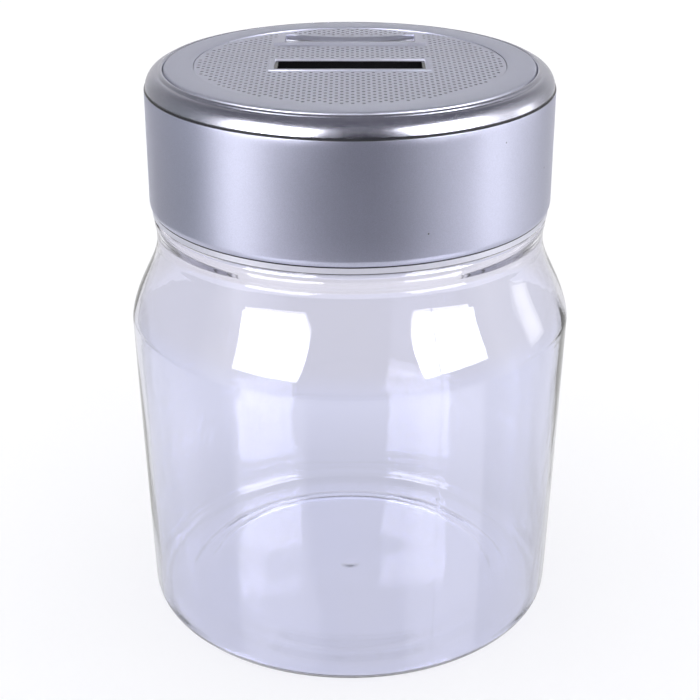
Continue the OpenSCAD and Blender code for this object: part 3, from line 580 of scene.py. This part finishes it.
for f in disc.data.polygons:
    i = round((f.center.x / MM - CELL / 2) / CELL)
    j = round((f.center.y / MM - CELL / 2) / CELL)
    f.select = (i + j) % 2 == 0
bpy.ops.object.mode_set(mode="EDIT")
bpy.ops.mesh.inset(thickness=0.21 * MM, use_individual=True)
bpy.ops.mesh.bevel(offset=0.26 * MM, affect="VERTICES", segments=1)
bpy.ops.object.mode_set(mode="OBJECT")
for f in disc.data.polygons:
    f.select = len(f.vertices) == 8
bpy.ops.object.mode_set(mode="EDIT")
bpy.ops.mesh.inset(thickness=0.04 * MM, depth=-0.22 * MM, use_individual=True)
bpy.ops.mesh.inset(thickness=0.12 * MM, depth=-0.06 * MM, use_individual=True)
bpy.ops.object.mode_set(mode="OBJECT")


def outline(name, points, z):
    """A closed chain of edges through (x, y) points in millimetres."""
    bpy.ops.object.select_all(action="DESELECT")
    bpy.ops.mesh.primitive_circle_add(vertices=len(points), radius=0.01, fill_type="NOTHING")
    loop = bpy.context.object
    loop.name = name
    for v, (x, y) in zip(loop.data.vertices, points):
        v.co = (x * MM, y * MM, z * MM)
    return loop


def box_corners(w, d, cy):
    """The corners of a box of this width and depth, centred at cy."""
    return [(-w / 2, cy - d / 2), (w / 2, cy - d / 2), (w / 2, cy + d / 2), (-w / 2, cy + d / 2)]


view_far_edge = [(x, VIEW_TOP + VIEW_ARC - math.sqrt(VIEW_ARC ** 2 - x * x)) for x in
                 [VIEW_FAR_W / 2 * (1 - 2 * i / 24) for i in range(25)]]
view_points = [(-VIEW_NEAR_W / 2, VIEW_NEAR), (VIEW_NEAR_W / 2, VIEW_NEAR)] + view_far_edge
round_edge = [(DISC_R * math.cos(math.radians(a)), DISC_R * math.sin(math.radians(a))) for a in
              [i * 1.5 for i in range(240)]]
wide, deep = SLOT[0] + 2 * BORDER, SLOT[1] + 2 * BORDER


def open_rings(mesh):
    """The mesh's open edges, gathered into rings that share points."""
    used = {}
    for f in mesh.polygons:
        for k in f.edge_keys:
            used[k] = used.get(k, 0) + 1
    rings = []
    for e in mesh.edges:
        if used.get(e.key, 0) < 2:
            touching = [r for r in rings if r[1] & set(e.vertices)]
            merged = ([e.index], set(e.vertices))
            for r in touching:
                merged[0].extend(r[0])
                merged[1].update(r[1])
                rings.remove(r)
            rings.append(merged)
    return rings


for outlines, wanted in [
        ([round_edge, view_points], lambda reach: reach > 36),
        ([box_corners(wide, deep, SLOT_Y)], lambda reach: reach < 36)]:
    join(disc, [outline("edge", points, DISC_TOP) for points in outlines])
    mesh = disc.data
    bpy.ops.object.mode_set(mode="EDIT")
    bpy.ops.mesh.select_mode(type="EDGE")
    bpy.ops.mesh.select_all(action="DESELECT")
    bpy.ops.object.mode_set(mode="OBJECT")
    for edges, ends in open_rings(mesh):
        reach = max(math.hypot(mesh.vertices[i].co.x, mesh.vertices[i].co.y) for i in ends) / MM
        if wanted(reach):
            for i in edges:
                mesh.edges[i].select = True
            for i in ends:
                mesh.vertices[i].select = True
    bpy.ops.object.mode_set(mode="EDIT")
    bpy.ops.mesh.fill(use_beauty=True)
    bpy.ops.object.mode_set(mode="OBJECT")
bpy.ops.object.mode_set(mode="EDIT")
bpy.ops.mesh.select_mode(type="EDGE")
bpy.ops.mesh.select_all(action="DESELECT")
bpy.ops.mesh.select_non_manifold(extend=False, use_wire=False, use_boundary=True, use_multi_face=False,
                                 use_non_contiguous=False, use_verts=False)
bpy.ops.mesh.extrude_region_move(TRANSFORM_OT_translate={"value": (0, 0, (DISC_LOW - DISC_TOP) * MM)})
bpy.ops.mesh.fill(use_beauty=True)
bpy.ops.mesh.select_all(action="SELECT")
bpy.ops.mesh.normals_make_consistent(inside=False)
bpy.ops.object.mode_set(mode="OBJECT")
bpy.ops.object.select_all(action="DESELECT")
disc.select_set(True)
bpy.context.view_layer.objects.active = disc
bpy.ops.object.shade_smooth_by_angle(angle=math.radians(25))
satin_disc = painted("satin_disc", (0.54, 0.545, 0.645), 0.40, flake=0.10, marks=0.4)
disc.data.materials.append(satin_disc)
# The dimples' walls and floors take a dark, dull paint: painted shade in the recesses.
disc.data.materials.append(painted("dimple_shade", (0.20, 0.20, 0.235), 0.62, metallic=0.4,
                                   flake=0.05, marks=0.0))
for f in disc.data.polygons:
    low = min(disc.data.vertices[i].co.z for i in f.vertices)
    f.material_index = 1 if DISC_LOW * MM + 0.001 < low < (DISC_TOP - 0.01) * MM else 0
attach(disc, "lid")
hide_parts("dotted_disc")

# The slot's raised border: one frame of plain satin silver, part of the same moulding.
bpy.ops.object.select_all(action="DESELECT")
bpy.ops.mesh.primitive_plane_add(size=1, location=(0, SLOT_Y * MM, DISC_LOW * MM))
border = bpy.context.object
border.name = "slot_border"
border.scale = (wide * MM, deep * MM, 1)
settle(border)
bpy.ops.object.mode_set(mode="EDIT")
bpy.ops.mesh.select_all(action="SELECT")
bpy.ops.mesh.inset(thickness=BORDER * MM)
bpy.ops.mesh.delete(type="FACE")
bpy.ops.mesh.select_all(action="SELECT")
bpy.ops.mesh.extrude_region_move(
    TRANSFORM_OT_translate={"value": (0, 0, (DISC_TOP + 0.27 - DISC_LOW) * MM)})
bpy.ops.mesh.select_all(action="SELECT")
bpy.ops.mesh.normals_make_consistent(inside=False)
bpy.ops.object.mode_set(mode="OBJECT")
rounding = border.modifiers.new("rounded_edges", "BEVEL")
rounding.width = 0.12 * MM
rounding.segments = 3
rounding.limit_method = "ANGLE"
bpy.ops.object.modifier_apply(modifier=rounding.name)
bpy.ops.object.shade_smooth_by_angle(angle=math.radians(40))
border.data.materials.append(satin_disc)
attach(border, "lid")

# ---------------------------------------------------------------------------------------------
# Plain moulded plastics. Each has a fine spark-eroded grain, slight shade changes and a trace
# of handling.
moulded, given, result = group(
    "moulded_plastic",
    [("Vector", "vector"), ("Colour", "colour"), ("Tone", "float"), ("Roughness", "float"),
     ("Grain Scale", "float"), ("Grain", "float")],
    [("Colour", "colour"), ("Roughness", "float"), ("Normal", "vector")])
shade = add(moulded, "TexNoise", {"Vector": given["Vector"], "Scale": 55.0, "Detail": 3.0}).outputs["Fac"]
shade = add(moulded, "MapRange", {0: shade, 1: 0.25, 2: 0.75, 3: -1.0, 4: 1.0}).outputs[0]
tone = add(moulded, "Math", {0: shade, 1: given["Tone"], 2: 1.0}, operation="MULTIPLY_ADD").outputs[0]
body = add(moulded, "VectorMath", {0: given["Colour"], "Scale": tone}, operation="SCALE").outputs[0]
seen = use_group(moulded, handling, {"Vector": given["Vector"], "Streak Scale": 160.0, "Speck Scale": 200.0})
rough = add(moulded, "Math", {0: shade, 1: 0.05, 2: given["Roughness"]}, operation="MULTIPLY_ADD").outputs[0]
rough = add(moulded, "Math", {0: seen["Streaks"], 1: 0.12, 2: rough}, operation="MULTIPLY_ADD").outputs[0]
grain = add(moulded, "TexNoise", {"Vector": given["Vector"], "Scale": given["Grain Scale"], "Detail": 4.0})
skin = add(moulded, "Bump", {"Height": grain.outputs["Fac"], "Strength": given["Grain"], "Distance": 0.0001})
moulded.links.new(body, result.inputs["Colour"])
moulded.links.new(rough, result.inputs["Roughness"])
moulded.links.new(skin.outputs[0], result.inputs["Normal"])


def plastic(name, colour, roughness=0.45, tone=0.05, grain_scale=2600.0, grain=0.3):
    """A moulded plastic of this colour and sheen."""
    made, tree, shader, place = material(name)
    got = use_group(tree, moulded, {"Vector": place, "Colour": (*colour, 1), "Tone": tone,
                                    "Roughness": roughness, "Grain Scale": grain_scale, "Grain": grain})
    set_shader(shader, Base_Color=got["Colour"], Roughness=got["Roughness"], Normal=got["Normal"])
    return made


def finish(node, made):
    """Gives a CAD node its material."""
    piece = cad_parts[node]
    piece.data.materials.clear()
    piece.data.materials.append(made)
    return piece


grey_abs = plastic("grey_abs", (0.70, 0.70, 0.70))
for node in ("battery_box", "battery_door", "coin_chute"):
    finish(node, grey_abs)
finish("coin_funnel", plastic("black_lining", (0.012, 0.012, 0.014), roughness=0.14, grain=0.06))
finish("coin_lever", plastic("acetal", (0.80, 0.80, 0.76), roughness=0.38, grain=0.12))
finish("reset_button", plastic("dark_button", (0.035, 0.035, 0.042), roughness=0.5))
finish("reset_switch", plastic("black_switch", (0.02, 0.02, 0.022), roughness=0.4))
finish("zebra_strips", plastic("zebra_rubber", (0.09, 0.09, 0.095), roughness=0.75, grain_scale=900.0))
finish("chip_blob", plastic("epoxy", (0.012, 0.012, 0.013), roughness=0.16, grain_scale=300.0, grain=0.5))

# ---------------------------------------------------------------------------------------------
# Inner cap. The threaded cup inside the skirt, moulded in pale silver plastic. Its rim shows as
# a thin bright ring under the skirt, and its floor is the underside of the lid.
# The dark bands below and above its rim are painted shadow lines: under the rim above the jar's bead, and in
# the gap below the skirt.
finish("inner_cap", painted("cap_silver", (0.68, 0.68, 0.77), 0.31, metallic=0.3, flake=0.06, marks=0.4,
                            shadow_bands=[(116.4, 116.85), (118.3, 118.7)]))

# ---------------------------------------------------------------------------------------------
# Seal ring. A die-cut ring of white closed-cell foam that sits loose on the neck's rim.
seal = turn("foam_seal", [(46.8, 134.25), (46.9, 134.15), (49.75, 134.15), (49.85, 134.25),
                          (49.85, 135.25), (49.75, 135.35), (46.9, 135.35), (46.8, 135.25)], steps=160)
foam, tree, shader, place = material("white_foam")
bubbles = add(tree, "TexVoronoi", {"Vector": place, "Scale": 2400.0}).outputs["Distance"]
tint = ramp(tree, bubbles, [(0.0, (0.80, 0.80, 0.79)), (0.5, (0.92, 0.92, 0.91))])
skin = add(tree, "Bump", {"Height": bubbles, "Strength": 0.6, "Distance": 0.0002}).outputs[0]
set_shader(shader, Base_Color=tint, Roughness=0.85, Normal=skin)
seal.data.materials.append(foam)
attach(seal, "liner")
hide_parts("seal_ring")

# ---------------------------------------------------------------------------------------------
# Display. A low silver frame, a smoked window with a curved far edge, and the display glass
# under it, blank when it is off.
finish("display_frame", satin_disc)
lens, tree, shader, place = material("smoked_window")
faint = add(tree, "TexNoise", {"Vector": place, "Scale": 120.0}).outputs["Fac"]
set_shader(shader, Base_Color=ramp(tree, faint, [(0.3, (0.10, 0.10, 0.115)), (0.7, (0.13, 0.13, 0.145))]),
           Roughness=add(tree, "MapRange", {0: faint, 3: 0.04, 4: 0.09}).outputs[0], IOR=1.49)
finish("display_lens", lens)
lcd, tree, shader, place = material("display_glass")
rows = add(tree, "TexWave", {"Vector": place, "Scale": 900.0}, bands_direction="X").outputs["Fac"]
set_shader(shader, Base_Color=ramp(tree, rows, [(0.0, (0.27, 0.31, 0.25)), (1.0, (0.31, 0.35, 0.29))]),
           Roughness=0.12)
finish("lcd_glass", lcd)

# ---------------------------------------------------------------------------------------------
# Circuit boards. Green solder mask over copper tracks, with a speckle of glass weave.


def board(name):
    """A circuit board's material."""
    made, tree, shader, place = material(name)
    tracks = add(tree, "TexBrick", {"Vector": place, "Scale": 260.0, "Mortar Size": 0.035,
                                    "Color1": (0, 0, 0, 1), "Color2": (0, 0, 0, 1), "Mortar": (1, 1, 1, 1)})
    weave = add(tree, "TexChecker", {"Vector": place, "Scale": 3200.0}).outputs["Fac"]
    base = ramp(tree, weave, [(0.0, (0.012, 0.105, 0.045)), (1.0, (0.016, 0.125, 0.055))])
    tint = add(tree, "Mix", {0: tracks.outputs["Color"], 6: base, 7: (0.03, 0.22, 0.09, 1)},
               data_type="RGBA").outputs[2]
    skin = add(tree, "Bump", {"Height": tracks.outputs["Color"], "Strength": 0.5, "Distance": 0.00005})
    set_shader(shader, Base_Color=tint, Roughness=0.32, Normal=skin.outputs[0])
    return made


green = board("circuit_green")
finish("circuit_board", green)
finish("sensor_board", green)

# ---------------------------------------------------------------------------------------------
# Metal parts. Plated steel screws, pin and springs, nickel contacts and a brass wiper.
plated, given, result = group(
    "plated_metal",
    [("Vector", "vector"), ("Colour", "colour"), ("Roughness", "float")],
    [("Colour", "colour"), ("Roughness", "float")])
drawn = add(plated, "TexNoise", {"Vector": given["Vector"], "Scale": 700.0, "Detail": 3.0}).outputs["Fac"]
tone = add(plated, "MapRange", {0: drawn, 1: 0.3, 2: 0.7, 3: 0.9, 4: 1.06}).outputs[0]
body = add(plated, "VectorMath", {0: given["Colour"], "Scale": tone}, operation="SCALE").outputs[0]
rough = add(plated, "MapRange", {0: drawn, 1: 0.3, 2: 0.7, 3: -0.05, 4: 0.08}).outputs[0]
rough = add(plated, "Math", {0: rough, 1: given["Roughness"]}, operation="ADD").outputs[0]
plated.links.new(body, result.inputs["Colour"])
plated.links.new(rough, result.inputs["Roughness"])


def metal(name, colour, roughness):
    """A plated metal of this colour and sheen."""
    made, tree, shader, place = material(name)
    got = use_group(tree, plated, {"Vector": place, "Colour": (*colour, 1), "Roughness": roughness})
    set_shader(shader, Base_Color=got["Colour"], Roughness=got["Roughness"], Metallic=1.0)
    return made


steel = metal("plated_steel", (0.66, 0.66, 0.67), 0.24)
for node in ("board_screws", "lever_pin", "lever_spring", "reset_spring", "door_screw", "lid_screws"):
    finish(node, steel)
finish("cell_contacts", metal("nickel", (0.70, 0.68, 0.64), 0.2))
finish("lever_wiper", metal("brass_strip", (0.80, 0.60, 0.26), 0.22))

# ---------------------------------------------------------------------------------------------
# Wires. Thin stranded leads in plain insulation.
finish("battery_wires", plastic("red_lead", (0.42, 0.03, 0.03), roughness=0.4, grain=0.1))
finish("sensor_wires", plastic("white_lead", (0.78, 0.78, 0.72), roughness=0.4, grain=0.1))

# ---------------------------------------------------------------------------------------------
# Cells. Steel cans in a printed jacket with a plain copper-coloured band at the raised end.
for node, band_side in (("cell_left", -1), ("cell_right", 1)):
    made, tree, shader, place = material(node + "_jacket")
    along = add(tree, "SeparateXYZ", {0: place}).outputs["X"]
    along = add(tree, "Math", {0: along, 1: float(band_side)}, operation="MULTIPLY").outputs[0]
    fine = add(tree, "TexNoise", {"Vector": place, "Scale": 300.0}).outputs["Fac"]
    band = add(tree, "MapRange", {0: along, 1: 0.0090, 2: 0.0092, 3: 0.0, 4: 1.0}).outputs[0]
    can = add(tree, "MapRange", {0: along, 1: 0.0208, 2: 0.0209, 3: 0.0, 4: 1.0}).outputs[0]
    green_ink = ramp(tree, fine, [(0.3, (0.02, 0.12, 0.08)), (0.7, (0.03, 0.15, 0.10))])
    tint = add(tree, "Mix", {0: band, 6: green_ink, 7: (0.62, 0.36, 0.16, 1)}, data_type="RGBA").outputs[2]
    tint = add(tree, "Mix", {0: can, 6: tint, 7: (0.62, 0.62, 0.62, 1)}, data_type="RGBA").outputs[2]
    set_shader(shader, Base_Color=tint, Metallic=can,
               Roughness=add(tree, "MapRange", {0: fine, 3: 0.22, 4: 0.34}).outputs[0])
    finish(node, made)
